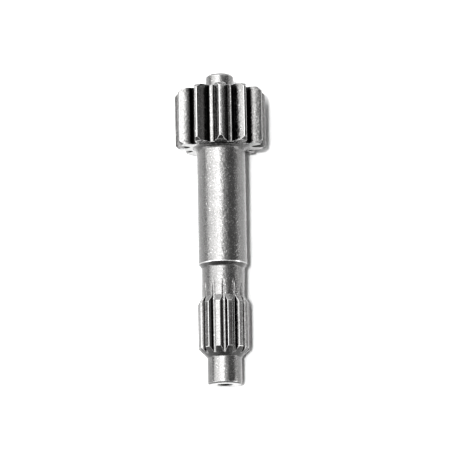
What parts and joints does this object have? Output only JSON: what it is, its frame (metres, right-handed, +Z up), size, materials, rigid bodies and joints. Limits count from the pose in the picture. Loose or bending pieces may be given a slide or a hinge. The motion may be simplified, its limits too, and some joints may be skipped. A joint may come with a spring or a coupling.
{
  "type": "pinion shaft",
  "caption": "Steel pinion shaft: a spur pinion with a thrust pin on a plain shank, necked down to an involute spline and a pilot stub with a lathe centre.",
  "frame": {"origin": "on the floor, below the middle of the shaft as it lies at rest", "axes": "+Y along the floor from the splined end to the pinion end, +Z up; the shaft's own axis rises about 5.1 degrees towards +Y, because the pinion is larger than the spline"},
  "size_m": [0.0436, 0.1516, 0.0453],
  "materials": {
    "steel": "satin, blasted and lightly sparkling"
  },
  "bodies": {
    "root": {"pinion_shaft": "steel"}
  },
  "joints": []
}
